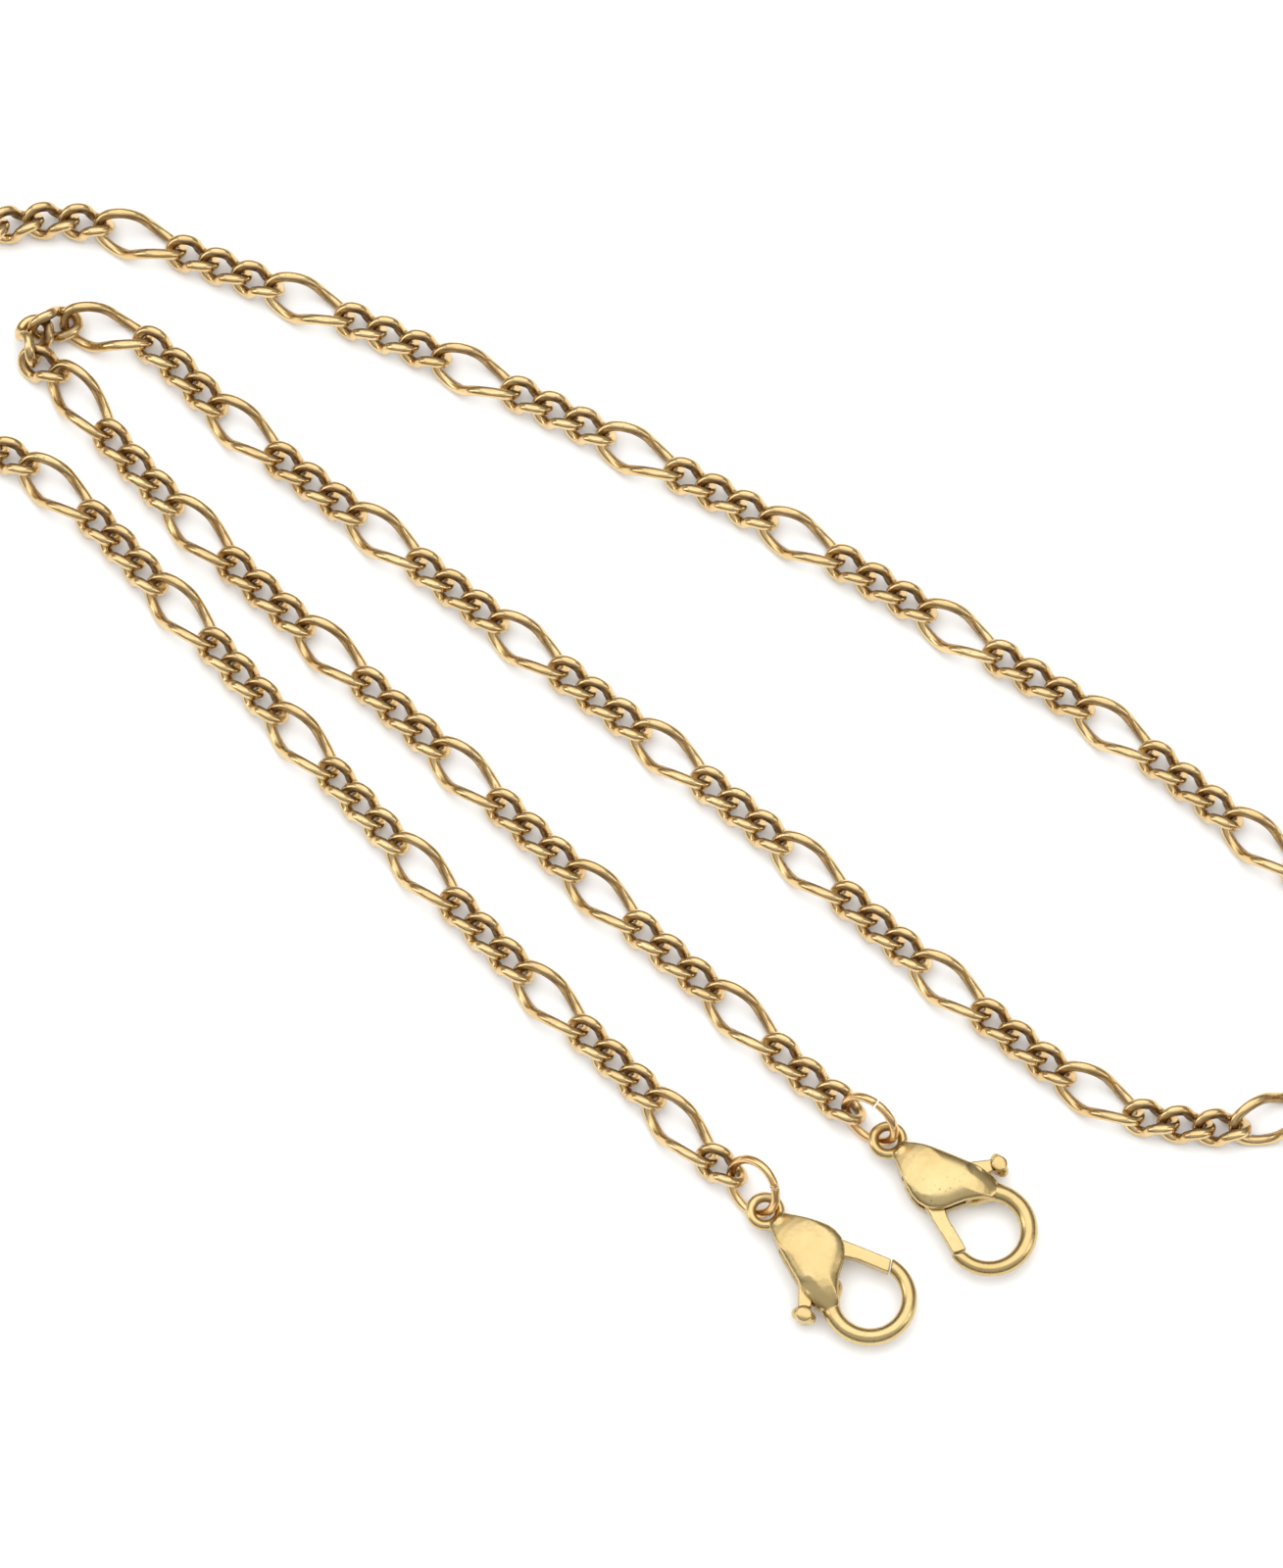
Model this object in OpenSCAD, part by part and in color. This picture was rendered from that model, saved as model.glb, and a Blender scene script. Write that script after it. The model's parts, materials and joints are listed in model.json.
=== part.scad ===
// Figaro watch chain: 32 repeats of one long and three short twisted curb links, folded in four
// runs, with a jump ring and a sprung lobster clasp at each end. Millimetres, +Z up.

/* [Wire] */
// Thickness of the link wire
wire_d = 0.74; // [0.6:0.01:0.76]

/* [Short link] */
// Half length of the short link, to the middle of the wire
short_a = 1.68; // [1.66:0.01:1.72]
// Half width of the short link, to the middle of the wire
short_b = 0.92; // [0.9:0.01:0.96]
// Bend radius of the short link's ends
short_tip = 1.05; // [1.0:0.01:1.1]

/* [Long link] */
// Half length of the long link, to the middle of the wire
long_a = 3.14; // [3.1:0.01:3.2]
// Half width of the long link, to the middle of the wire
long_b = 1.345; // [1.3:0.005:1.4]
// Bend radius of the long link's ends
long_tip = 1.2; // [1.1:0.01:1.25]

/* [Twist] */
// Tilt of each link end from the flat of the chain
end_tilt = 45; // [43:1:47]

/* [Jump rings] */
// Radius of a jump ring, to the middle of its wire
ring_r = 2; // [1.95:0.01:2.02]
// Thickness of the jump ring wire
ring_wire_d = 0.62; // [0.55:0.01:0.64]
// Width of the saw cut in a jump ring
ring_cut = 0.15; // [0.1:0.05:0.3]

/* [Clasps] */
// Radius of the clasp's eye, to the middle of its wall
eye_r = 1; // [0.95:0.01:1.05]
// Thickness of the eye's wall
eye_wall_d = 0.72; // [0.6:0.02:0.76]
// Radius of the hook, to the middle of its bar
hook_r = 2.72; // [2.6:0.02:2.8]
// Thickness of the hook's bar
hook_bar_d = 1.16; // [1.0:0.02:1.2]
// Height of the clasp's body
body_h = 2.8; // [2.6:0.1:3.0]
// Thickness of the lever inside the body
lever_h = 0.8; // [0.6:0.05:0.8]
// Diameter of the lever's pin
pin_d = 0.8; // [0.6:0.05:0.9]

/* [Node] */

/* [Hidden] */
wire_r = wire_d / 2;
ARC_FN = 64;
WIRE_FN = 24;
BALL_FN = 32;
bead = 0.01;

// Half the angle of a link's end arc, so that the side arc that follows it runs level at its middle.
function end_point(a, tip, ang) =
    [a - tip + tip * cos(ang), tip * sin(ang) * cos(end_tilt), -tip * sin(ang) * sin(end_tilt)];
function end_way(ang) = [-sin(ang), cos(ang) * cos(end_tilt), -cos(ang) * sin(end_tilt)];
function unit(v) = v / norm(v);
function side_rise(a, b, tip, ang) =
    let (chord = unit([0, b, 0] - end_point(a, tip, ang)), way = end_way(ang))
    (2 * (way * chord) * chord - way)[1];
function end_angle(a, b, tip, low = 20, high = 88, n = 24) =
    let (mid = (low + high) / 2)
    n == 0 ? mid :
    side_rise(a, b, tip, mid) < 0 ? end_angle(a, b, tip, mid, high, n - 1) :
    end_angle(a, b, tip, low, mid, n - 1);

short_end = end_angle(short_a, short_b, short_tip);
long_end = end_angle(long_a, long_b, long_tip);
chain_z = long_tip * sin(long_end) * sin(end_tilt) + 0.1513 + wire_r;

// Room between touching wires on each stretch of the chain, and the route that its links follow.
route_in = [
    [5.8, -28.9], [2.5, -24.5], [-6.5, -15.5], [-15.5, -6], [-24, 3.5], [-32.5, 13], [-41, 22],
    [-47.5, 26], [-52, 31.5], [-51.5, 37], [-47, 41], [-41, 42], [-35, 40.5], [-23, 35.5],
    [-11, 30], [0.5, 24], [12, 17.5], [23, 10.5], [33.5, 3.5], [43, -4.5], [48.5, -9.5],
    [50.5, -15.5], [48, -21.5], [42.5, -24.5], [36.5, -24.5], [31, -22.5], [21, -14.5],
    [11.5, -6], [1.5, 2.5], [-8.5, 10.5], [-18.5, 18.5], [-28.5, 26.5], [-34.5, 32.5],
    [-38, 34], [-41.5, 34.5], [-45.5, 35]];
route_out = [
    [-42.5, 33], [-39, 27.5], [-30.5, 18], [-21.5, 9.5], [-12.5, 1], [-3, -8], [6.5, -16.5],
    [10, -20], [13.5, -23], [17.5, -26]];
route_out_from = 0.51;

function curve(p, u) =
    let (last = len(p) - 1, v = min(max(u, 0), last - 0.000001), i = floor(v), t = v - i)
    let (a = i == 0 ? 2 * p[0] - p[1] : p[i - 1], b = p[i], c = p[i + 1])
    let (d = i + 2 > last ? 2 * p[last] - p[last - 1] : p[i + 2])
    0.5 * (2 * b + (c - a) * t + (2 * a - 5 * b + 4 * c - d) * t * t
        + (3 * b - a - 3 * c + d) * t * t * t);
function reach(p, from, span, low, high, n = 30) =
    let (mid = (low + high) / 2)
    n == 0 ? mid :
    norm(curve(p, mid) - from) < span ? reach(p, from, span, mid, high, n - 1) :
    reach(p, from, span, low, mid, n - 1);
function pitch_of(long, room) = 2 * ((long ? long_a : short_a) - wire_r) - room;

// Each stretch starts with its own run of links; true marks a long link.
links_in = [false, each [for (k = [0:24]) each [true, false, false, false]], true];
rooms_in = [for (i = [0:101]) i < 30 ? 0.16 : i < 61 ? 0.1 : 0.157];
links_out = [for (k = [0:5]) each [true, false, false, false]];
rooms_out = [for (i = [0:23]) 0.105];
function joints(p, u, kinds, rooms, i = 0) =
    i == len(kinds) ? [u] :
    let (next = reach(p, curve(p, u), pitch_of(kinds[i], rooms[i]), u, min(u + 2.5, len(p) - 1)))
    [u, each joints(p, next, kinds, rooms, i + 1)];
joints_in = [for (u = joints(route_in, 0, links_in, rooms_in)) curve(route_in, u)];
joints_out = [for (u = joints(route_out, route_out_from, links_out, rooms_out)) curve(route_out, u)];

// The three short links that turn the chain back on itself: middle, then yaw, pitch and roll.
turn_links = [
    [[-41.4, 34.1, 1.3], [-163, -14, -28]],
    [[-42.85, 32.8, 1.6], [-93, -8, -35]],
    [[-42.1, 30.95, 1.15], [-27, -1, -2]]];

// The loose link at the first jump ring turns a little aside from the run.
end_tip = [6.44, -28.27];

// The whole chain is shifted so that its box is centred over the origin.
shift = [0.9, -1.54, 0];

UNITS_IN = 26;
UNITS = 32;
TURNS = len(turn_links);
ENDS = 2;

// Clasp and ring placing: where each eye's middle lies, its heading, and which face is up.
clasp_at = [[8.45, -30.74], [16.87, -25.7]];
clasp_way = [-41, -43];
clasp_roll = [0, 180];
clasp_z = 1.42;
ring_at = [[7.62, -29.14, 2.01], [15.62, -24.43, 2.21]];
ring_way = [-50, -37];
ring_lean = [57, 70];
ring_saw = [50, 90];

// Clasp sizes that follow from the rest, measured from the middle of the eye.
slot_h = lever_h + 0.1;
slot_from = 2.5;
slot_to = 6.9;
hook_x = 9.35;
hook_from = -150;
hook_to = 106;
gate_reach = 4.98;
gate_gap = 0.08;
cheek_clear = 2.4;
pivot = [4.6, 0.2];
pin_gap = 0.03;
dome_r = 9;
outline = [
    [0.9, -0.6], [1.8, -1.15], [2.6, -1.55], [4.2, -2.15], [5.8, -2.7], [7, -2.9], [7.7, -2.86],
    [8.12, -1.75], [7.6, -1.3], [7.2, -0.8], [6.85, -0.3], [6.6, 0.2], [6.35, 0.75], [6.1, 1.2],
    [5.7, 1.62], [5.2, 1.88], [4.6, 2], [4, 1.95], [3.2, 1.68], [2.4, 1.3], [1.7, 0.95],
    [0.9, 0.6]];

gate = [
    [4, 1.1], [5.05, 1.8], [8.75, 2.98], [9.4, 3.1], [9.6, 2.3], [8.8, 2], [7, 1.45], [6, 0.9],
    [5.3, 0.1], [4.6, 0.1]];
gate_h = 1.04;
tail = [
    [3.3, -0.1], [3.35, -1.2], [4.2, -1.75], [5.1, -2.5], [6.1, -3.7], [6.4, -4.05],
    [7.1, -3.75], [6.75, -3.1], [6.5, -2.3], [6.2, -1.4], [5.75, -0.4], [4.6, 0]];
thumb = [6.78, -3.85];
thumb_d = 1.1;
thumb_h = 1.5;

gold = [0.86, 0.7, 0.38];
pale_gold = [0.8, 0.68, 0.42];
warm_gold = [0.85, 0.6, 0.3];
steel = [0.72, 0.72, 0.7];

module wire_arc(start, way, finish) {
    chord = finish - start;
    along = unit(way);
    across = chord - (chord * along) * along;
    side = unit(across);
    bend = (chord * chord) / (2 * norm(across));
    sweep = 2 * asin(norm(chord) / 2 / bend);
    x = -side;
    z = cross(x, along);
    o = start + bend * side;
    multmatrix([
        [x[0], along[0], z[0], o[0]], [x[1], along[1], z[1], o[1]],
        [x[2], along[2], z[2], o[2]], [0, 0, 0, 1]])
        rotate_extrude(angle = sweep, $fn = ARC_FN) translate([bend, 0]) circle(r = wire_r, $fn = WIRE_FN);
}

// One closed, twisted link. A short link's quarters are half an end arc and a side arc each. A
// long link's ends are whole arcs, and a slight solder bead covers each place where arcs meet.
module link(long) {
    a = long ? long_a : short_a;
    b = long ? long_b : short_b;
    tip = long ? long_tip : short_tip;
    ang = long ? long_end : short_end;
    turn = end_point(a, tip, ang);
    for (s = long ? [[1, 1, 1], [-1, 1, -1]] : [])
        wire_arc(flip(turn, flip([1, -1, -1], s)), flip(end_way(ang), flip([-1, 1, 1], s)), flip(turn, s));
    for (s = [[1, 1, 1], [-1, 1, -1], [-1, -1, 1], [1, -1, -1]]) {
        if (!long) wire_arc(flip([a, 0, 0], s), flip(end_way(0), s), flip(turn, s));
        wire_arc(flip(turn, s), flip(end_way(ang), s), flip([0, b, 0], s));
        if (long) translate(flip(turn, s)) sphere(r = wire_r + bead, $fn = WIRE_FN);
    }
    for (side = long ? [-b, b] : [])
        translate([0, side, 0]) sphere(r = wire_r + bead, $fn = WIRE_FN);
}

function flip(v, s) = [v[0] * s[0], v[1] * s[1], v[2] * s[2]];

module laid_link(from, to, long) {
    mid = (from + to) / 2;
    way = to - from;
    translate([mid[0], mid[1], chain_z]) rotate([0, 0, atan2(way[1], way[0])]) link(long);
}

module link_of(points, kinds, i) {
    laid_link(points[i], points[i + 1], kinds[i]);
}

module end_link() {
    color(gold) translate(shift) laid_link(end_tip, joints_in[1], false);
}

// Unit k is one long link and the short links that follow it.
module chain_unit(k) {
    inward = k <= UNITS_IN;
    first = inward ? 4 * k - 3 : 4 * (k - UNITS_IN) - 4;
    count = k == UNITS_IN ? 1 : 4;
    color(gold) translate(shift)
        for (i = [first:first + count - 1])
            if (inward) link_of(joints_in, links_in, i);
            else link_of(joints_out, links_out, i);
}

module turn_link(k) {
    place = turn_links[k - 1];
    turn = place[1];
    color(gold) translate(shift + place[0])
        rotate([0, 0, turn[0]]) rotate([0, turn[1], 0]) rotate([turn[2], 0, 0]) link(false);
}

module jump_ring(k) {
    color(warm_gold) translate(shift + ring_at[k - 1])
        rotate([0, 0, ring_way[k - 1]]) rotate([ring_lean[k - 1], 0, 0])
        difference() {
            rotate_extrude($fn = ARC_FN) translate([ring_r, 0]) circle(d = ring_wire_d, $fn = WIRE_FN);
            rotate([0, 0, ring_saw[k - 1]]) translate([ring_r, 0, 0])
                cube([2 * ring_wire_d, ring_cut, 2 * ring_wire_d], center = true);
        }
}

module clasp_place(k) {
    at = clasp_at[k - 1];
    translate(shift + [at[0], at[1], clasp_z])
        rotate([0, 0, clasp_way[k - 1]]) rotate([clasp_roll[k - 1], 0, 0]) children();
}

// Hook bar with its free end cut to the arc that the gate's tip swings on.
module clasp_hook() {
    difference() {
        translate([hook_x, 0, 0]) rotate([0, 0, hook_from])
            rotate_extrude(angle = hook_to - hook_from, $fn = ARC_FN)
            translate([hook_r, 0]) circle(d = hook_bar_d, $fn = WIRE_FN);
        intersection() {
            translate([pivot[0], pivot[1], -body_h])
                cylinder(h = 2 * body_h, r = gate_reach + gate_gap, $fn = ARC_FN);
            translate([pivot[0], 1.2, -body_h]) cube([8, 4, 2 * body_h]);
        }
    }
}

// Domed body in one casting with its eye and hook, slotted for the lever.
module clasp_casting() {
    difference() {
        union() {
            intersection() {
                linear_extrude(height = body_h, center = true) polygon(outline);
                translate([5, -0.3, body_h / 2 - dome_r]) sphere(r = dome_r, $fn = ARC_FN);
                translate([5, -0.3, dome_r - body_h / 2]) sphere(r = dome_r, $fn = ARC_FN);
            }
            difference() {
                translate([eye_r, 0, 0]) rotate([0, 90, 0]) cylinder(h = 1.6, d = 1.3, $fn = WIRE_FN);
                cylinder(h = 2, r = eye_r, center = true, $fn = WIRE_FN);
            }
            rotate_extrude($fn = ARC_FN) translate([eye_r, 0]) circle(d = eye_wall_d, $fn = WIRE_FN);
            clasp_hook();
        }
        translate([slot_from, -5, -slot_h / 2]) cube([slot_to - slot_from, 10, slot_h]);
        translate([pivot[0], pivot[1], -body_h]) cylinder(h = 2 * body_h, d = pin_d, $fn = BALL_FN);
    }
}

module clasp_body(k) {
    color(pale_gold) clasp_place(k) clasp_casting();
}

// Lever blade in the slot, with its gate and thumb pad thickened where they leave the body.
module lever_shape() {
    difference() {
        union() {
            linear_extrude(height = lever_h, center = true) difference() {
                union() {
                    translate(pivot) circle(r = 1.05, $fn = BALL_FN);
                    polygon(gate);
                    polygon(tail);
                }
                translate(pivot) circle(d = pin_d + 2 * pin_gap, $fn = BALL_FN);
            }
            difference() {
                linear_extrude(height = gate_h, center = true) polygon(gate);
                translate([pivot[0], pivot[1], -body_h])
                    cylinder(h = 2 * body_h, r = cheek_clear, $fn = ARC_FN);
            }
            translate([thumb[0], thumb[1], -thumb_h / 2])
                cylinder(h = thumb_h, d = thumb_d, $fn = BALL_FN);
        }
        difference() {
            translate([pivot[0], 1.2, -body_h]) cube([8, 4, 2 * body_h]);
            translate([pivot[0], pivot[1], -body_h])
                cylinder(h = 2 * body_h, r = gate_reach, $fn = ARC_FN);
        }
    }
}

module clasp_lever(k) {
    color(pale_gold) clasp_place(k) lever_shape();
}

module clasp_pin(k) {
    color(warm_gold) clasp_place(k) translate([pivot[0], pivot[1], -body_h / 2 + 0.02])
        cylinder(h = body_h - 0.04, d = pin_d, $fn = BALL_FN);
}

// Bent leaf spring in the slot between the casting and the lever's tail.
module clasp_spring(k) {
    color(steel) clasp_place(k) translate([-0.9, -0.5, 0]) rotate([0, 0, -11])
        rotate_extrude(angle = 22, $fn = ARC_FN) translate([3.55, 0]) square([0.16, 0.6], center = true);
}

end_link();
chain_unit(1);  // unit_01
chain_unit(2);  // unit_02
chain_unit(3);  // unit_03
chain_unit(4);  // unit_04
chain_unit(5);  // unit_05
chain_unit(6);  // unit_06
chain_unit(7);  // unit_07
chain_unit(8);  // unit_08
chain_unit(9);  // unit_09
chain_unit(10);  // unit_10
chain_unit(11);  // unit_11
chain_unit(12);  // unit_12
chain_unit(13);  // unit_13
chain_unit(14);  // unit_14
chain_unit(15);  // unit_15
chain_unit(16);  // unit_16
chain_unit(17);  // unit_17
chain_unit(18);  // unit_18
chain_unit(19);  // unit_19
chain_unit(20);  // unit_20
chain_unit(21);  // unit_21
chain_unit(22);  // unit_22
chain_unit(23);  // unit_23
chain_unit(24);  // unit_24
chain_unit(25);  // unit_25
chain_unit(26);  // unit_26
chain_unit(27);  // unit_27
chain_unit(28);  // unit_28
chain_unit(29);  // unit_29
chain_unit(30);  // unit_30
chain_unit(31);  // unit_31
chain_unit(32);  // unit_32
turn_link(1);  // turn_link_1
turn_link(2);  // turn_link_2
turn_link(3);  // turn_link_3
jump_ring(1);  // jump_ring_1
jump_ring(2);  // jump_ring_2
clasp_body(1);  // clasp_1_body
clasp_lever(1);  // clasp_1_lever
clasp_pin(1);  // clasp_1_pin
clasp_spring(1);  // clasp_1_spring
clasp_body(2);  // clasp_2_body
clasp_lever(2);  // clasp_2_lever
clasp_pin(2);  // clasp_2_pin
clasp_spring(2);  // clasp_2_spring
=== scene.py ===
"""Figaro watch chain: drawn links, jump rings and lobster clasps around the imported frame."""

import json
import math

import bmesh
import bpy
import numpy as np
from mathutils import Matrix, Vector


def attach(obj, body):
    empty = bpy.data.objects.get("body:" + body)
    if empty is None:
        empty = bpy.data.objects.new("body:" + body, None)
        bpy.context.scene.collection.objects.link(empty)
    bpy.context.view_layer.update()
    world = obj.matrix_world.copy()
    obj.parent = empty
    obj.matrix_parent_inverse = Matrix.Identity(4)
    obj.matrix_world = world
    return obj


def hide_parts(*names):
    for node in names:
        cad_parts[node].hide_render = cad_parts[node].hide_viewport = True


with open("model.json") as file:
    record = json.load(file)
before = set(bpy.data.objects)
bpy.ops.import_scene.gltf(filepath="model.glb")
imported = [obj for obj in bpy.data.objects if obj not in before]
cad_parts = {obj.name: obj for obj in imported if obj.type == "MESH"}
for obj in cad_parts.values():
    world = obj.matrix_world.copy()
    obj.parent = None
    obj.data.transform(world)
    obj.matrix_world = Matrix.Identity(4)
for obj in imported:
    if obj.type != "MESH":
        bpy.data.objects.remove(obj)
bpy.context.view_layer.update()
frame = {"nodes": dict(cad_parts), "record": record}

bl_info = {
    "name": "Figaro Watch Chain",
    "version": (1, 0, 0),
    "blender": (4, 5, 0),
    "location": "View3D > Sidebar > Chain",
    "description": "Draws a twisted figaro chain with jump rings and lobster clasps on its frame",
    "category": "Object",
}

MM = 0.001
UP = Vector((0, 0, 1))
NODES = frame["nodes"]


class LinkSizes(bpy.types.PropertyGroup):
    """Sizes of the drawn links."""

    wire: bpy.props.FloatProperty(
        name="Wire", description="Thickness of the link wire", default=0.74 * MM,
        unit="LENGTH", subtype="DISTANCE",
    )
    tilt: bpy.props.FloatProperty(
        name="Tilt", description="Tilt of each link end from the flat of the chain",
        default=math.radians(45), subtype="ANGLE",
    )
    short_length: bpy.props.FloatProperty(
        name="Short half length", description="Middle of a short link to the middle of its end wire",
        default=1.68 * MM, unit="LENGTH", subtype="DISTANCE",
    )
    short_width: bpy.props.FloatProperty(
        name="Short half width", description="Middle of a short link to the middle of its side wire",
        default=0.92 * MM, unit="LENGTH", subtype="DISTANCE",
    )
    short_end: bpy.props.FloatProperty(
        name="Short end bend", description="Bend radius of a short link's ends",
        default=1.05 * MM, unit="LENGTH", subtype="DISTANCE",
    )
    long_length: bpy.props.FloatProperty(
        name="Long half length", description="Middle of a long link to the middle of its end wire",
        default=3.14 * MM, unit="LENGTH", subtype="DISTANCE",
    )
    long_width: bpy.props.FloatProperty(
        name="Long half width", description="Middle of a long link to the middle of its side wire",
        default=1.345 * MM, unit="LENGTH", subtype="DISTANCE",
    )
    long_end: bpy.props.FloatProperty(
        name="Long end bend", description="Bend radius of a long link's ends",
        default=1.2 * MM, unit="LENGTH", subtype="DISTANCE",
    )
    flat: bpy.props.FloatProperty(
        name="Ground flat", description="Depth ground off the top and bottom of each link",
        default=0.07 * MM, unit="LENGTH", subtype="DISTANCE",
    )
    sides: bpy.props.IntProperty(
        name="Wire sides", description="Faces round the link wire", default=16, min=8, max=24,
    )


class ClaspSizes(bpy.types.PropertyGroup):
    """Sizes of the drawn clasps."""

    voxel: bpy.props.FloatProperty(
        name="Casting grain", description="Smallest shape kept in the castings",
        default=0.048 * MM, unit="LENGTH", subtype="DISTANCE", precision=6,
    )
    rounding: bpy.props.IntProperty(
        name="Tumbling", description="Passes that round the castings' edges", default=16, min=0, max=40,
    )
    edge: bpy.props.FloatProperty(
        name="Edge height", description="Middle of the clasp's body to its face, at the edge",
        default=0.76 * MM, unit="LENGTH", subtype="DISTANCE",
    )
    dome: bpy.props.FloatProperty(
        name="Dome height", description="Rise of the body's face from its edge to its middle",
        default=0.64 * MM, unit="LENGTH", subtype="DISTANCE",
    )


class Finish(bpy.types.PropertyGroup):
    """Colours of the plated parts."""

    chain: bpy.props.FloatVectorProperty(
        name="Chain gold", description="Plating of the links", subtype="COLOR", size=3,
        default=(0.78, 0.585, 0.30), min=0, max=1,
    )
    ring: bpy.props.FloatVectorProperty(
        name="Ring gold", description="Plating of the jump rings", subtype="COLOR", size=3,
        default=(0.86, 0.60, 0.30), min=0, max=1,
    )
    clasp: bpy.props.FloatVectorProperty(
        name="Clasp gold", description="Plating of the clasps", subtype="COLOR", size=3,
        default=(0.67, 0.525, 0.255), min=0, max=1,
    )
    # brown for the recesses: partly patina, partly painted shade where the hollows fall dark
    tarnish_and_shade: bpy.props.FloatVectorProperty(
        name="Tarnish and shade", description="Brown of the recesses", subtype="COLOR", size=3,
        default=(0.17, 0.085, 0.03), min=0, max=1,
    )
    floor: bpy.props.FloatVectorProperty(
        name="Floor", description="Colour of the surface under the chain", subtype="COLOR", size=3,
        default=(0.9, 0.9, 0.9), min=0, max=1,
    )


# ---------------------------------------------------------------- small helpers


def new_object(name, mesh):
    piece = bpy.data.objects.new(name, mesh)
    bpy.context.scene.collection.objects.link(piece)
    return piece


def mesh_from(bm, name, smooth=True):
    bmesh.ops.remove_doubles(bm, verts=bm.verts, dist=0.0005 * MM)
    bmesh.ops.recalc_face_normals(bm, faces=bm.faces)
    mesh = bpy.data.meshes.new(name)
    bm.to_mesh(mesh)
    bm.free()
    for polygon in mesh.polygons:
        polygon.use_smooth = smooth
    return mesh


def flipped(vector, signs):
    return Vector((vector[0] * signs[0], vector[1] * signs[1], vector[2] * signs[2]))


def body_of_node(node):
    for body, nodes in frame["record"]["behaviour"]["bodies"].items():
        if node in nodes:
            return body
    raise RuntimeError(f"{node} is in no body")


def stand_for(piece, node, material):
    """The piece takes over a CAD node: its place, its body and its finish."""
    piece.data.materials.append(material)
    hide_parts(node)
    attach(piece, body_of_node(node))


# ---------------------------------------------------------------- links


def link_bends(length, width, end, tilt):
    """Centre, axis and angle of the two bends in a quarter of a link, from its end to its side."""
    across = Vector((0, math.cos(tilt), -math.sin(tilt)))
    middle = Vector((length - end, 0, 0))
    side = Vector((0, width, 0))

    def turned(angle):
        point = middle + end * (math.cos(angle) * Vector((1, 0, 0)) + math.sin(angle) * across)
        way = -math.sin(angle) * Vector((1, 0, 0)) + math.cos(angle) * across
        return point, way

    low, high = math.radians(20), math.radians(88)
    for _ in range(40):
        angle = (low + high) / 2
        point, way = turned(angle)
        chord = (side - point).normalized()
        leaving = 2 * way.dot(chord) * chord - way
        if leaving.y < 0:
            low = angle
        else:
            high = angle
    point, way = turned(angle)
    chord = side - point
    inward = (chord - chord.dot(way) * way).normalized()
    radius = chord.dot(chord) / (2 * chord.dot(inward))
    sweep = 2 * math.asin(chord.length / 2 / radius)
    end_bend = (middle, Vector((1, 0, 0)).cross(across), angle)
    side_bend = (point + radius * inward, (-inward).cross(way), sweep)
    return end_bend, side_bend


def closed_link(length, width, end, sizes, end_steps, side_steps):
    """One twisted link round the origin, long side along X, with its top and bottom ground flat."""
    bends = link_bends(length, width, end, sizes.tilt)
    steps = (end_steps, side_steps)
    quarters = []
    turns = (((1, 1, 1), True), ((-1, 1, -1), False), ((-1, -1, 1), True), ((1, -1, -1), False))
    for signs, forward in turns:
        pair = [
            (flipped(middle, signs), flipped(axis, signs) * (1 if forward else -1), angle, count)
            for (middle, axis, angle), count in zip(bends, steps)
        ]
        quarters += pair if forward else pair[::-1]
    bm = bmesh.new()
    start_way = Vector((0, math.cos(sizes.tilt), -math.sin(sizes.tilt)))
    place = Matrix.Translation((length, 0, 0)) @ UP.rotation_difference(start_way).to_matrix().to_4x4()
    bmesh.ops.create_circle(bm, segments=sizes.sides, radius=sizes.wire / 2, matrix=place)
    start = list(bm.edges)
    rim = start
    for number, (middle, axis, angle, count) in enumerate(quarters):
        if number == len(quarters) - 1:  # the last step is left for the join
            angle, count = angle * (count - 1) / count, count - 1
        spun = bmesh.ops.spin(
            bm, geom=rim, cent=middle, axis=axis.normalized(), dvec=(0, 0, 0), angle=angle,
            steps=count, use_merge=False, use_normal_flip=False, use_duplicate=False,
        )
        rim = [g for g in spun["geom_last"] if isinstance(g, bmesh.types.BMEdge)]
    bmesh.ops.bridge_loops(bm, edges=start + rim)
    bmesh.ops.remove_doubles(bm, verts=bm.verts, dist=0.0005 * MM)
    top = max(v.co.z for v in bm.verts) - sizes.flat
    # painted shade: each link's wire is marked darker on its inner side, towards the link's middle where the
    # next links pass; this brown is partly patina and partly shade painted into the recess
    recess = bm.verts.layers.float.new("recess")
    for vert in bm.verts:
        reach = math.hypot(vert.co.x / length, vert.co.y / width)
        vert[recess] = max(0.0, min(1.0, (1.0 - reach) * 2.6))
        vert.co.z = max(-top, min(top, vert.co.z))
    return mesh_from(bm, "link")


def separate_shells(node):
    """The closed shells of a CAD node, each as its triangles' corners."""
    bm = bmesh.new()
    bm.from_mesh(NODES[node].data)
    bmesh.ops.remove_doubles(bm, verts=bm.verts, dist=0.0001 * MM)
    bm.verts.ensure_lookup_table()
    seen = set()
    shells = []
    for vert in bm.verts:
        if vert in seen:
            continue
        stack, faces = [vert], set()
        seen.add(vert)
        while stack:
            here = stack.pop()
            for face in here.link_faces:
                faces.add(face)
                for other in face.verts:
                    if other not in seen:
                        seen.add(other)
                        stack.append(other)
        if faces:
            shells.append(np.array([[tuple(v.co) for v in face.verts] for face in faces]))
    bm.free()
    return shells


def resting_place(triangles):
    """Matrix that turns and moves a link from the origin to where its CAD shell lies."""
    a, b, c = triangles[:, 0], triangles[:, 1], triangles[:, 2]
    area = np.linalg.norm(np.cross(b - a, c - a), axis=1)[:, None]
    middles = (a + b + c) / 3
    centre = (middles * area).sum(0) / area.sum()
    spread = np.zeros((3, 3))
    for points in (a, b, c, middles):
        off = points - centre
        spread += (off * area).T @ off
    axes = np.linalg.eigh(spread)[1][:, ::-1]
    if np.linalg.det(axes) < 0:
        axes[:, 2] *= -1
    turn = Matrix([list(row) for row in axes]).to_4x4()
    return Matrix.Translation(Vector(centre)) @ turn, float(np.abs((a - centre) @ axes[:, 0]).max())


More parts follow.
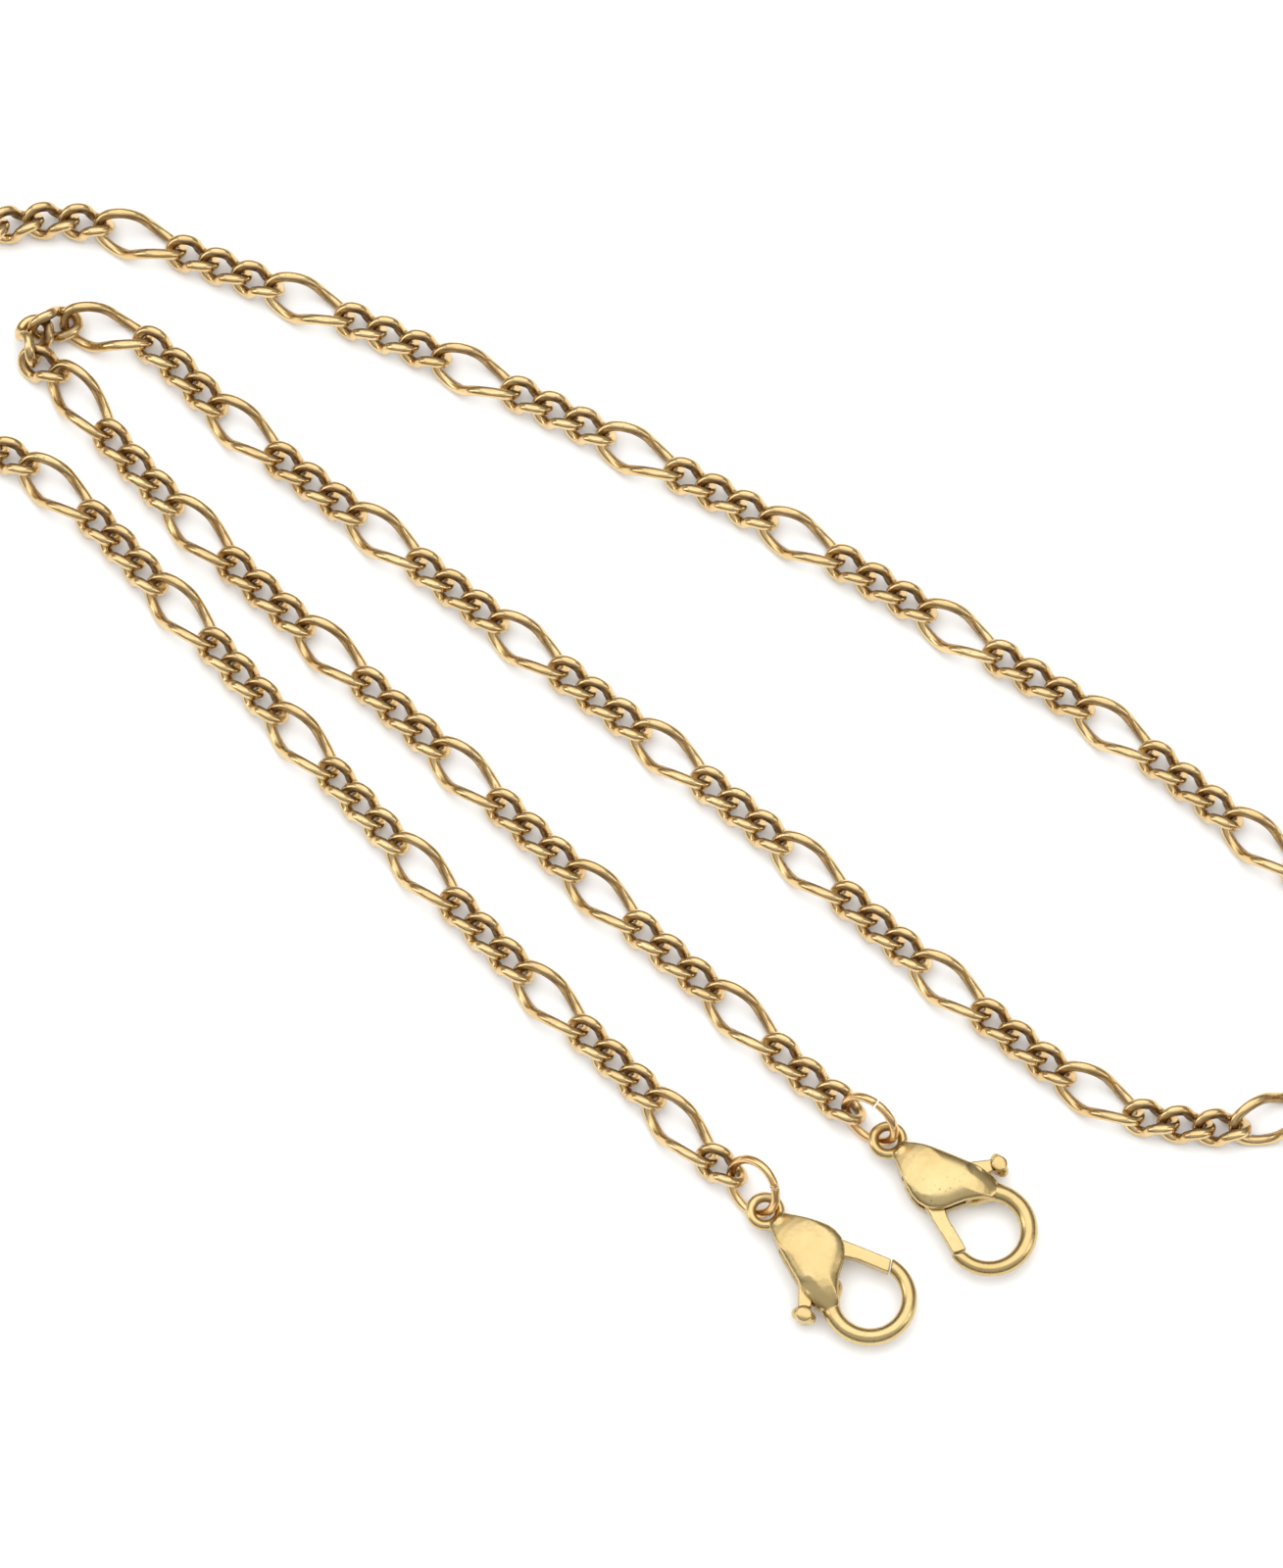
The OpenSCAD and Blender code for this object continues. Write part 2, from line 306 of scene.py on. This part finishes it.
class CHAIN_OT_links(bpy.types.Operator):
    """Draws every link where its CAD shell lies"""

    bl_idname = "chain.links"
    bl_label = "Links"

    def execute(self, context):
        sizes = context.scene.link_sizes
        short = closed_link(sizes.short_length, sizes.short_width, sizes.short_end, sizes, 6, 6)
        long = closed_link(sizes.long_length, sizes.long_width, sizes.long_end, sizes, 6, 11)
        gold = plated_metal("Chain gold", context.scene.finish.chain, roughness=0.2, dents=0.35)
        for node in sorted(NODES):
            if not node.startswith(("unit", "end_link", "turn_link")):
                continue
            bm = bmesh.new()
            for shell in separate_shells(node):
                place, reach = resting_place(shell)
                before = len(bm.verts)
                bm.from_mesh(long if reach > 1.3 * sizes.short_length else short)
                bm.verts.ensure_lookup_table()
                bmesh.ops.transform(bm, matrix=place, verts=bm.verts[before:])
            piece = new_object(f"{node}_links", mesh_from(bm, node))
            stand_for(piece, node, gold)
        return {"FINISHED"}


# ---------------------------------------------------------------- castings


def merged_copy(node, name):
    bm = bmesh.new()
    bm.from_mesh(NODES[node].data)
    return new_object(name, mesh_from(bm, name))


# The body's two long edges from the hook round the eye's neck, in the clasp's own millimetres:
# the middle of the eye at 0, the hook along +X and the gate on the +Y side.
EDGES = (
    ((7.6, -1.3), (7.2, -0.8), (6.85, -0.3), (6.6, 0.2), (6.35, 0.75), (6.1, 1.2), (5.7, 1.62),
     (5.2, 1.88), (4.6, 2.0), (4.0, 1.95), (3.2, 1.68), (2.4, 1.3), (1.7, 0.95), (0.9, 0.6)),
    ((0.9, -0.6), (1.8, -1.15), (2.6, -1.55), (4.2, -2.15), (5.8, -2.7), (7.0, -2.9), (7.7, -2.86)),
)
PIVOT = (4.6, 0.2)
HOOK = (9.35, 0.0)
HOOK_RADIUS = 2.72
THUMB = (6.78, -3.85)
THUMB_TURN = math.radians(20.5)


def clasp_axes(number):
    """Matrix from a clasp's own axes to the frame, from its gate's hinge and the middle of its hook."""
    record = frame["record"]
    hinge = next(j for j in record["behaviour"]["joints"] if j["name"] == f"clasp_{number}_gate")
    hook = next(m for m in record["mounts"] if m["name"] == f"clasp_{number}_hook")
    z = Vector(hinge["axis"]).normalized()
    span = Vector(hook["pos_m"]) - Vector(hinge["pos_m"])
    span -= span.dot(z) * z
    a, b = HOOK[0] - PIVOT[0], HOOK[1] - PIVOT[1]
    x = (a * span - b * z.cross(span)).normalized()
    y = z.cross(x)
    origin = Vector(hinge["pos_m"]) - (PIVOT[0] * x + PIVOT[1] * y) * MM
    return Matrix.Translation(origin) @ Matrix((x, y, z)).transposed().to_4x4()


def add_bead(bm, axes, place, radius, tall=1.0):
    """A round bead, in the clasp's own millimetres, to be run into the casting."""
    shape = Matrix.Translation(Vector(place) * MM) @ Matrix.Diagonal((1, 1, tall, 1))
    bmesh.ops.create_uvsphere(
        bm, u_segments=28, v_segments=18, radius=radius * MM, matrix=axes @ shape
    )


def hook_bar(angle):
    """A point on the middle line of the hook's bar."""
    return (HOOK[0] + HOOK_RADIUS * math.cos(angle), HOOK[1] + HOOK_RADIUS * math.sin(angle), 0.0)


def run_together(piece, voxel, passes=0):
    """The piece as one closed casting, with its edges worn round by the smoothing passes."""
    remesh = piece.modifiers.new("Casting", "REMESH")
    remesh.mode = "VOXEL"
    remesh.voxel_size = voxel
    remesh.use_smooth_shade = True
    if passes:
        smooth = piece.modifiers.new("Tumbling", "SMOOTH")
        smooth.factor = 0.5
        smooth.iterations = passes
    bpy.context.view_layer.update()
    shaped = piece.evaluated_get(bpy.context.evaluated_depsgraph_get())
    mesh = bpy.data.meshes.new_from_object(shaped)
    old = piece.data
    piece.modifiers.clear()
    piece.data = mesh
    bpy.data.meshes.remove(old)
    for polygon in mesh.polygons:
        polygon.use_smooth = True


def own_points(piece, axes):
    """The piece's points in the clasp's own millimetres."""
    flat = np.empty(3 * len(piece.data.vertices))
    piece.data.vertices.foreach_get("co", flat)
    turn = np.array(axes)
    return (flat.reshape(-1, 3) - turn[:3, 3]) @ turn[:3, :3] / MM


def put_points(piece, axes, points):
    turn = np.array(axes)
    moved = points * MM @ turn[:3, :3].T + turn[:3, 3]
    piece.data.vertices.foreach_set("co", moved.ravel())
    piece.data.update()


def edge_gap(points):
    """Distance of each point to the nearer long edge of the body, seen from above."""
    gaps = []
    for edge in EDGES:
        corners = np.array(edge)
        for start, step in zip(corners[:-1], corners[1:] - corners[:-1]):
            off = points[:, :2] - start
            part = np.clip(off @ step / (step @ step), 0, 1)
            gaps.append(np.linalg.norm(off - part[:, None] * step, axis=1))
    return np.min(gaps, axis=0)


def smooth_step(value, low, high):
    part = np.clip((value - low) / (high - low), 0, 1)
    return part * part * (3 - 2 * part)


def domed(points, edge, dome):
    """Rounds the body's two faces down to its edges, and thins the bar towards its free end."""
    x, y, z = points.T.copy()
    full_rise = 1.9
    cap = edge + dome * np.sqrt(1 - (1 - np.clip(edge_gap(points) / full_rise, 0, 1)) ** 2)
    z = np.where((x > 0.9) & (x < 8.3), np.clip(z, -cap, cap), z)

    # the body's section narrows to the bar's round one between these angles round the hook
    angle = np.arctan2(y - HOOK[1], x - HOOK[0])
    degrees = np.degrees(angle)
    off = np.abs(np.hypot(x - HOOK[0], y - HOOK[1]) - HOOK_RADIUS)
    tall = np.interp(degrees, (-176, -150, -122), (1.6, 1.25, 0.62))
    wide = np.interp(degrees, (-176, -150, -122), (12.0, 3.0, 0.64))
    least = np.interp(degrees, (-140, -122), (0.85, 0.25))
    cap = np.maximum(tall * np.sqrt(np.maximum(1 - (off / wide) ** 2, 0)), least)
    z = np.where((degrees > -176) & (degrees < -112) & (x > 4), np.clip(z, -cap, cap), z)

    # the bar is thickest where it leaves the body
    ring_x = HOOK[0] + HOOK_RADIUS * np.cos(angle)
    ring_y = HOOK[1] + HOOK_RADIUS * np.sin(angle)
    middle = np.stack([ring_x, ring_y, np.zeros(len(x))], axis=1)
    away = np.stack([x, y, z], axis=1) - middle
    on_bar = (np.linalg.norm(away, axis=1) < 0.85) & (angle > math.radians(-118)) & (x > 7.9)
    size = np.interp(degrees, (-118, -85, -30, 40, 106), (1.0, 1.08, 1.04, 0.93, 0.86))
    return middle + away * np.where(on_bar, size, 1.0)[:, None]


def mark_recesses(piece, points, inside, depth):
    """Stores how deep each point lies in a slot or a hole, for the brown there: partly patina, partly
    painted shade.
    """
    marks = piece.data.attributes.new("recess", "FLOAT", "POINT")
    marks.data.foreach_set("value", np.where(inside, depth, 0.0).astype(np.float32))


class CHAIN_OT_clasp_bodies(bpy.types.Operator):
    """Casts the two clasp bodies with their eyes and hooks"""

    bl_idname = "chain.clasp_bodies"
    bl_label = "Clasp bodies"

    def execute(self, context):
        sizes = context.scene.clasp_sizes
        gold = plated_metal("Clasp gold", context.scene.finish.clasp, roughness=0.23, dents=0.4)
        for number in (1, 2):
            node, axes = f"clasp_{number}_body", clasp_axes(number)
            bm = bmesh.new()
            bm.from_mesh(NODES[node].data)
            for step in range(17):  # the bar's root swells into the body
                turn = -154 + 3.5 * step
                radius = np.interp(turn, (-154, -125, -98), (0.82, 0.65, 0.59))
                add_bead(bm, axes, hook_bar(math.radians(turn)), radius)
            for step in range(9):  # the eye's neck
                add_bead(bm, axes, (1.15 + 0.16 * step, 0.0, 0.0), 0.52 + 0.045 * step, 0.9)
            for side in (-1, 1):  # metal over the riveted pin
                add_bead(bm, axes, (*PIVOT, side * 0.985), 1.3, 0.3)
            piece = new_object(f"clasp_{number}_casting", mesh_from(bm, node))
            run_together(piece, sizes.voxel)
            shaped = domed(own_points(piece, axes), sizes.edge / MM, sizes.dome / MM)
            put_points(piece, axes, shaped)
            run_together(piece, sizes.voxel, sizes.rounding)
            points = own_points(piece, axes)
            x, y, z = points.T
            # painted shade: the gate's slot and the eye's hole are marked to be browned, partly patina and
            # partly the shade that falls in them
            slot = (np.abs(z) < 0.5) & (x > 2.4) & (x < 7.0) & (edge_gap(points) > 0.1)
            hole = (np.hypot(x, y) < 0.82) & (np.abs(z) < 0.3)
            mark_recesses(piece, points, slot | hole, np.where(hole, 0.45, 0.9))
            stand_for(piece, node, gold)
        return {"FINISHED"}


class CHAIN_OT_clasp_levers(bpy.types.Operator):
    """Casts the two levers with their gates and thumb pads"""

    bl_idname = "chain.clasp_levers"
    bl_label = "Clasp levers"

    def execute(self, context):
        sizes = context.scene.clasp_sizes
        gold = plated_metal("Lever gold", context.scene.finish.clasp, roughness=0.23, dents=0.35)
        for number in (1, 2):
            node, axes = f"clasp_{number}_lever", clasp_axes(number)
            bm = bmesh.new()
            bm.from_mesh(NODES[node].data)
            for step in range(-2, 3):  # the thumb pad spreads like a hoof
                place = (THUMB[0] + 0.22 * step, THUMB[1] + 0.08 * step - 0.03, 0.0)
                add_bead(bm, axes, place, 0.46 - 0.02 * abs(step), 1.5)
            piece = new_object(f"clasp_{number}_gate_lever", mesh_from(bm, node))
            run_together(piece, sizes.voxel)
            points = own_points(piece, axes)
            reach = np.hypot(points[:, 0] - PIVOT[0], points[:, 1] - PIVOT[1])
            cap = np.where(points[:, 1] > 0.6, 0.4 + 0.12 * smooth_step(reach, 1.9, 3.6), 1.0)
            off_x, off_y = points[:, 0] - THUMB[0], points[:, 1] - THUMB[1]
            across = off_x * math.cos(THUMB_TURN) + off_y * math.sin(THUMB_TURN)
            along = off_y * math.cos(THUMB_TURN) - off_x * math.sin(THUMB_TURN)
            pad = 1 - (across / 1.05) ** 2 - (along / 0.66) ** 2
            cap = np.where(points[:, 1] < -2.6, 0.42 + 0.33 * np.sqrt(np.clip(pad, 0, 1)), cap)
            points[:, 2] = np.clip(points[:, 2], -cap, cap)
            put_points(piece, axes, points)
            run_together(piece, sizes.voxel, sizes.rounding)
            stand_for(piece, node, gold)
        return {"FINISHED"}


class CHAIN_OT_small_parts(bpy.types.Operator):
    """Sets the clasps' pins and leaf springs inside their slots"""

    bl_idname = "chain.small_parts"
    bl_label = "Pins and springs"

    def execute(self, context):
        pin = plated_metal("Pin gold", context.scene.finish.ring, roughness=0.3, dents=0.1)
        steel = plated_metal("Spring steel", (0.5, 0.5, 0.48), roughness=0.35, dents=0.05)
        for number in (1, 2):
            axes = clasp_axes(number)
            for part, metal in (("pin", pin), ("spring", steel)):
                node = f"clasp_{number}_{part}"
                bm = bmesh.new()
                bm.from_mesh(NODES[node].data)
                if part == "pin":  # its ends lie under the polished faces
                    short = axes @ Matrix.Diagonal((1, 1, 0.86, 1)) @ axes.inverted()
                    bmesh.ops.transform(bm, matrix=short, verts=bm.verts)
                piece = new_object(f"{node}_set", mesh_from(bm, node, smooth=False))
                stand_for(piece, node, metal)
        return {"FINISHED"}


class CHAIN_OT_jump_rings(bpy.types.Operator):
    """Copies the two jump rings from their CAD wires, each with its saw cut a little out of line"""

    bl_idname = "chain.jump_rings"
    bl_label = "Jump rings"

    def execute(self, context):
        gold = plated_metal("Ring gold", context.scene.finish.ring, roughness=0.2, dents=0.25)
        for number in (1, 2):
            node = f"jump_ring_{number}"
            piece = merged_copy(node, f"jump_ring_{number}_wire")
            stand_for(piece, node, gold)
        return {"FINISHED"}


# ---------------------------------------------------------------- finishes


def socket(tree, name, kind, value=None, output=False):
    made = tree.interface.new_socket(
        name=name, in_out="OUTPUT" if output else "INPUT", socket_type=kind
    )
    if value is not None:
        made.default_value = value
    return made


def wear_and_shade_group():
    """Shared plating wear and painted shade: small dents, pits, a cloudy tone, and brown in the recesses
    that is partly patina and partly painted shade.
    """
    if "Plating wear and shade" in bpy.data.node_groups:
        return bpy.data.node_groups["Plating wear and shade"]
    tree = bpy.data.node_groups.new("Plating wear and shade", "ShaderNodeTree")
    socket(tree, "Plating", "NodeSocketColor", (0.8, 0.6, 0.3, 1))
    socket(tree, "Tarnish and shade", "NodeSocketColor", (0.16, 0.08, 0.02, 1))
    socket(tree, "Roughness", "NodeSocketFloat", 0.2)
    socket(tree, "Dents", "NodeSocketFloat", 0.3)
    socket(tree, "Color", "NodeSocketColor", output=True)
    socket(tree, "Roughness", "NodeSocketFloat", output=True)
    socket(tree, "Height", "NodeSocketFloat", output=True)
    nodes, link = tree.nodes, tree.links.new
    given = nodes.new("NodeGroupInput")
    made = nodes.new("NodeGroupOutput")
    place = nodes.new("ShaderNodeTexCoord")
    recess = nodes.new("ShaderNodeAttribute")
    recess.attribute_name = "recess"

    def noise(scale, detail, rough=0.5):
        node = nodes.new("ShaderNodeTexNoise")
        node.inputs["Scale"].default_value = scale
        node.inputs["Detail"].default_value = detail
        node.inputs["Roughness"].default_value = rough
        link(place.outputs["Object"], node.inputs["Vector"])
        return node

    def maths(operation, one, two=None, clamp=False):
        node = nodes.new("ShaderNodeMath")
        node.operation = operation
        node.use_clamp = clamp
        for slot, value in ((0, one), (1, two)):
            if value is None:
                continue
            if isinstance(value, (int, float)):
                node.inputs[slot].default_value = value
            else:
                link(value, node.inputs[slot])
        return node.outputs[0]

    def mapped(value, low, high, to_low=0.0, to_high=1.0):
        node = nodes.new("ShaderNodeMapRange")
        link(value, node.inputs["Value"])
        for name, number in (("From Min", low), ("From Max", high), ("To Min", to_low), ("To Max", to_high)):
            node.inputs[name].default_value = number
        return node.outputs["Result"]

    cloud = noise(260, 3)
    fine = noise(2400, 4, 0.6)
    hammer = noise(900, 2)
    pits = nodes.new("ShaderNodeTexVoronoi")
    pits.inputs["Scale"].default_value = 2600
    link(place.outputs["Object"], pits.inputs["Vector"])
    pit = mapped(pits.outputs["Distance"], 0.08, 0.26, 1.0, 0.0)
    sparse = mapped(cloud.outputs["Fac"], 0.5, 0.66)
    pit = maths("MULTIPLY", pit, sparse)

    tone = nodes.new("ShaderNodeMix")
    tone.data_type = "RGBA"
    tone.blend_type = "MULTIPLY"
    tone.inputs[0].default_value = 1.0
    shade = nodes.new("ShaderNodeValToRGB")
    shade.color_ramp.elements[0].position = 0.32
    shade.color_ramp.elements[0].color = (0.86, 0.80, 0.72, 1)
    shade.color_ramp.elements[1].position = 0.68
    shade.color_ramp.elements[1].color = (1.0, 1.0, 1.0, 1)
    link(cloud.outputs["Fac"], shade.inputs["Fac"])
    link(given.outputs["Plating"], tone.inputs[6])
    link(shade.outputs["Color"], tone.inputs[7])

    # painted shade: the recess marks, with the pits, mix the plating towards the brown, partly patina and
    # partly shade painted into the hollows
    brown_and_shade_mask = maths("MULTIPLY", recess.outputs["Fac"], mapped(fine.outputs["Fac"], 0.3, 0.6, 0.75, 1.0))
    brown_and_shade_mask = maths("ADD", brown_and_shade_mask, maths("MULTIPLY", pit, 0.5), clamp=True)
    brown = nodes.new("ShaderNodeMix")
    brown.data_type = "RGBA"
    link(brown_and_shade_mask, brown.inputs[0])
    link(tone.outputs[2], brown.inputs[6])
    link(given.outputs["Tarnish and shade"], brown.inputs[7])
    link(brown.outputs[2], made.inputs["Color"])

    rough = maths("ADD", given.outputs["Roughness"], mapped(fine.outputs["Fac"], 0.35, 0.75, -0.04, 0.1))
    rough = maths("ADD", rough, maths("MULTIPLY", brown_and_shade_mask, 0.25), clamp=True)
    link(rough, made.inputs["Roughness"])

    height = maths("MULTIPLY", hammer.outputs["Fac"], given.outputs["Dents"])
    height = maths("ADD", height, maths("MULTIPLY", fine.outputs["Fac"], 0.05))
    height = maths("SUBTRACT", height, maths("MULTIPLY", pit, 0.12))
    link(height, made.inputs["Height"])
    return tree


def plated_metal(name, colour, roughness, dents):
    """Polished plating over the shared wear, with painted shade browning its recesses."""
    material = bpy.data.materials.new(name)
    material.use_nodes = True
    nodes, link = material.node_tree.nodes, material.node_tree.links.new
    shader = nodes["Principled BSDF"]
    shader.inputs["Metallic"].default_value = 1.0
    wear = nodes.new("ShaderNodeGroup")
    wear.node_tree = wear_and_shade_group()
    wear.inputs["Plating"].default_value = (*colour, 1)
    # the brown for the recesses: partly patina, partly painted shade
    wear.inputs["Tarnish and shade"].default_value = (*bpy.context.scene.finish.tarnish_and_shade, 1)
    wear.inputs["Roughness"].default_value = roughness
    wear.inputs["Dents"].default_value = dents
    bump = nodes.new("ShaderNodeBump")
    bump.inputs["Strength"].default_value = 0.35
    bump.inputs["Distance"].default_value = 0.06 * MM
    link(wear.outputs["Color"], shader.inputs["Base Color"])
    link(wear.outputs["Roughness"], shader.inputs["Roughness"])
    link(wear.outputs["Height"], bump.inputs["Height"])
    link(bump.outputs["Normal"], shader.inputs["Normal"])
    return material


# ---------------------------------------------------------------- stage


VIEW_MIDDLE = Vector((0.9, -1.54, 1.2)) * MM
VIEW_DISTANCE = 600 * MM
VIEW_ELEVATION = math.radians(72)
VIEW_HEIGHT = 108.8 * MM


def studio_world():
    """Pale room that is darker towards the horizon, so that the metal's sides show their turn."""
    world = bpy.data.worlds.new("Studio")
    world.use_nodes = True
    nodes, link = world.node_tree.nodes, world.node_tree.links.new
    place = nodes.new("ShaderNodeTexCoord")
    parts = nodes.new("ShaderNodeSeparateXYZ")
    ramp = nodes.new("ShaderNodeValToRGB")
    ramp.color_ramp.elements[0].position = 0.0
    ramp.color_ramp.elements[0].color = (0.10, 0.09, 0.08, 1)
    ramp.color_ramp.elements[1].position = 0.75
    ramp.color_ramp.elements[1].color = (0.75, 0.75, 0.75, 1)
    link(place.outputs["Generated"], parts.inputs["Vector"])
    link(parts.outputs["Z"], ramp.inputs["Fac"])
    link(ramp.outputs["Color"], nodes["Background"].inputs["Color"])
    nodes["Background"].inputs["Strength"].default_value = 0.9
    return world


def area_light(name, place, size, power, aim=(0, 0, 0), colour=(1, 1, 1)):
    data = bpy.data.lights.new(name, "AREA")
    data.shape = "RECTANGLE"
    data.size, data.size_y = size
    data.energy = power
    data.color = colour
    lamp = bpy.data.objects.new(name, data)
    lamp.location = place
    lamp.rotation_euler = (Vector(aim) - Vector(place)).to_track_quat("-Z", "Y").to_euler()
    bpy.context.scene.collection.objects.link(lamp)
    return lamp


class CHAIN_OT_stage(bpy.types.Operator):
    """Sets out the pale floor, the soft lights and the camera"""

    bl_idname = "chain.stage"
    bl_label = "Stage"

    def execute(self, context):
        scene = context.scene
        bm = bmesh.new()
        bmesh.ops.create_grid(bm, x_segments=1, y_segments=1, size=1.5)
        floor = new_object("floor", mesh_from(bm, "floor", smooth=False))
        paper = bpy.data.materials.new("Floor")
        paper.use_nodes = True
        shader = paper.node_tree.nodes["Principled BSDF"]
        shader.inputs["Base Color"].default_value = (*scene.finish.floor, 1)
        shader.inputs["Roughness"].default_value = 0.7
        shader.inputs["Specular IOR Level"].default_value = 0.1
        floor.data.materials.append(paper)

        scene.world = studio_world()
        area_light("overhead", (0.0, 0.22, 0.7), (1.1, 0.85), 3.1)
        area_light("left", (-0.6, 0.0, 0.3), (0.25, 0.5), 0.7)
        area_light("right", (0.6, -0.15, 0.35), (0.2, 0.5), 0.5)
        fill = area_light("floor_fill", (0.0, 0.0, 1.1), (1.6, 1.6), 9.5)
        fill.visible_glossy = False

        data = bpy.data.cameras.new("view")
        data.sensor_fit = "VERTICAL"
        data.sensor_height = 36
        data.lens = 36 * VIEW_DISTANCE / VIEW_HEIGHT
        data.clip_start = 0.01
        camera = bpy.data.objects.new("view", data)
        away = Vector((0, -math.cos(VIEW_ELEVATION), math.sin(VIEW_ELEVATION)))
        camera.location = VIEW_MIDDLE + VIEW_DISTANCE * away
        camera.rotation_euler = (-away).to_track_quat("-Z", "Y").to_euler()
        scene.collection.objects.link(camera)
        scene.camera = camera
        scene.view_settings.view_transform = "Standard"
        return {"FINISHED"}


class CHAIN_PT_panel(bpy.types.Panel):
    """Lists the chain's sizes and the steps that draw it"""

    bl_label = "Figaro Watch Chain"
    bl_idname = "CHAIN_PT_panel"
    bl_space_type = "VIEW_3D"
    bl_region_type = "UI"
    bl_category = "Chain"

    def draw(self, context):
        for group in (context.scene.link_sizes, context.scene.clasp_sizes, context.scene.finish):
            box = self.layout.box()
            for name in group.bl_rna.properties.keys():
                if name not in ("rna_type", "name"):
                    box.prop(group, name)
        for operator in OPERATORS:
            self.layout.operator(operator.bl_idname)


OPERATORS = (
    CHAIN_OT_links,
    CHAIN_OT_jump_rings,
    CHAIN_OT_clasp_bodies,
    CHAIN_OT_clasp_levers,
    CHAIN_OT_small_parts,
    CHAIN_OT_stage,
)
GROUPS = (LinkSizes, ClaspSizes, Finish)


def register():
    for kind in (*GROUPS, *OPERATORS, CHAIN_PT_panel):
        bpy.utils.register_class(kind)
    bpy.types.Scene.link_sizes = bpy.props.PointerProperty(type=LinkSizes)
    bpy.types.Scene.clasp_sizes = bpy.props.PointerProperty(type=ClaspSizes)
    bpy.types.Scene.finish = bpy.props.PointerProperty(type=Finish)


def unregister():
    del bpy.types.Scene.finish
    del bpy.types.Scene.clasp_sizes
    del bpy.types.Scene.link_sizes
    for kind in reversed((*GROUPS, *OPERATORS, CHAIN_PT_panel)):
        bpy.utils.unregister_class(kind)


def main():
    register()
    bpy.ops.chain.links()
    bpy.ops.chain.jump_rings()
    bpy.ops.chain.clasp_bodies()
    bpy.ops.chain.clasp_levers()
    bpy.ops.chain.small_parts()
    bpy.ops.chain.stage()


if __name__ == "__main__":
    main()
